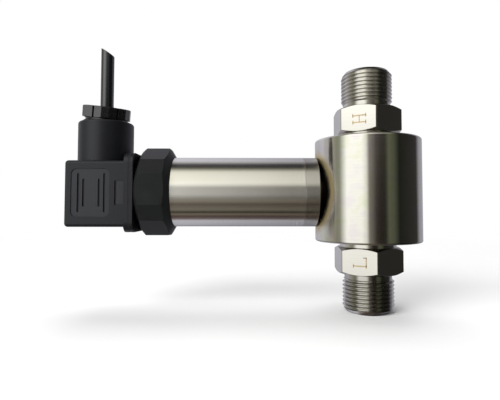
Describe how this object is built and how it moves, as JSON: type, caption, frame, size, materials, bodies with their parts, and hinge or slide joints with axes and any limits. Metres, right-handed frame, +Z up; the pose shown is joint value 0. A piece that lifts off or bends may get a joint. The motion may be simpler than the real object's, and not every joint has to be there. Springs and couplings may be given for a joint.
{
  "type": "differential pressure transmitter",
  "caption": "Differential pressure transmitter: round steel body with opposed threaded ports, side tube for the electronics, right-angle plug with a cable.",
  "frame": {"origin": "middle of the low pressure port's end face, on the bore's axis", "axes": "+Z up along the two ports towards the high pressure port, -X along the housing tube to the plug, -Y towards the side with the port letters"},
  "size_m": [0.1367, 0.0414, 0.1055],
  "materials": {
    "stainless_body": "turned and lightly brushed round the axis",
    "stainless_port": "turned, milled flats",
    "capsule_steel": "ground",
    "foil_steel": "rolled foil",
    "black_rubber": "moulded",
    "gold_pin": "gold plated",
    "board_green": "coated laminate",
    "holder_plastic": "moulded",
    "component_black": "moulded",
    "component_tan": "ceramic",
    "trimmer_blue": "moulded",
    "lead_insulation": "extruded",
    "black_plastic": "moulded, fine satin grain",
    "insert_plastic": "moulded",
    "brass": "turned and stamped",
    "tinned_blade": "tin plated",
    "plated_steel": "zinc plated",
    "cable_black": "extruded",
    "core_insulation": "extruded"
  },
  "bodies": {
    "transmitter": {"sensor_body": "stainless_body", "neck_ring": "stainless_body", "housing_tube": "stainless_body", "high_port_fitting": "stainless_port", "low_port_fitting": "stainless_port", "pressure_capsule": "capsule_steel", "high_diaphragm": "foil_steel", "low_diaphragm": "foil_steel", "high_port_seal": "black_rubber", "low_port_seal": "black_rubber", "adapter_seal": "black_rubber", "flange_gasket": "black_rubber", "capsule_pins": "gold_pin", "circuit_board": "board_green", "front_board_holder": "holder_plastic", "rear_board_holder": "holder_plastic", "amplifier_chip": "component_black", "output_transistor": "component_black", "chip_parts": "component_tan", "zero_trimmer": "trimmer_blue", "span_trimmer": "trimmer_blue", "sensor_leads": "lead_insulation", "output_leads": "lead_insulation", "hex_adapter": "black_plastic", "contact_carrier": "black_plastic", "thread_insert": "brass", "contact_blades": "tinned_blade", "earth_blade": "tinned_blade"},
    "plug": {"plug_housing": "black_plastic", "plug_insert": "insert_plastic", "socket_contacts": "brass", "terminal_screws": "plated_steel", "cable_seal": "black_rubber", "cable_jacket": "cable_black", "cable_cores": "core_insulation"},
    "screw_ring": {"screw_washer": "plated_steel"},
    "fixing_screw": {"centre_screw": "plated_steel"},
    "gland_ring": {"gland_washer": "plated_steel"},
    "gland": {"gland_nut": "black_plastic"}
  },
  "joints": [
    {"name": "plug_pull", "type": "slide", "parent": "transmitter", "child": "plug", "axis": [-1, 0, 0], "range_m": [0, 0.02]},
    {"name": "screw_travel", "type": "slide", "parent": "plug", "child": "screw_ring", "axis": [-1, 0, 0], "range_m": [0, 0.005]},
    {"name": "screw_turn", "type": "hinge", "parent": "screw_ring", "child": "fixing_screw", "pos_m": [-0.1, 0, 0.0471], "axis": [-1, 0, 0], "range_deg": [0, 3602]},
    {"name": "gland_travel", "type": "slide", "parent": "plug", "child": "gland_ring", "axis": [0, 0, 1], "range_m": [0, 0.00282]},
    {"name": "gland_turn", "type": "hinge", "parent": "gland_ring", "child": "gland", "pos_m": [-0.1051, 0, 0.0766], "axis": [0.108, -0.1384, 0.9845], "range_deg": [0, 722]}
  ],
  "couplings": [
    {"joint": "screw_turn", "follows": "screw_travel", "rad_per_m": 12566},
    {"joint": "gland_turn", "follows": "gland_travel", "rad_per_m": 4456.2}
  ]
}
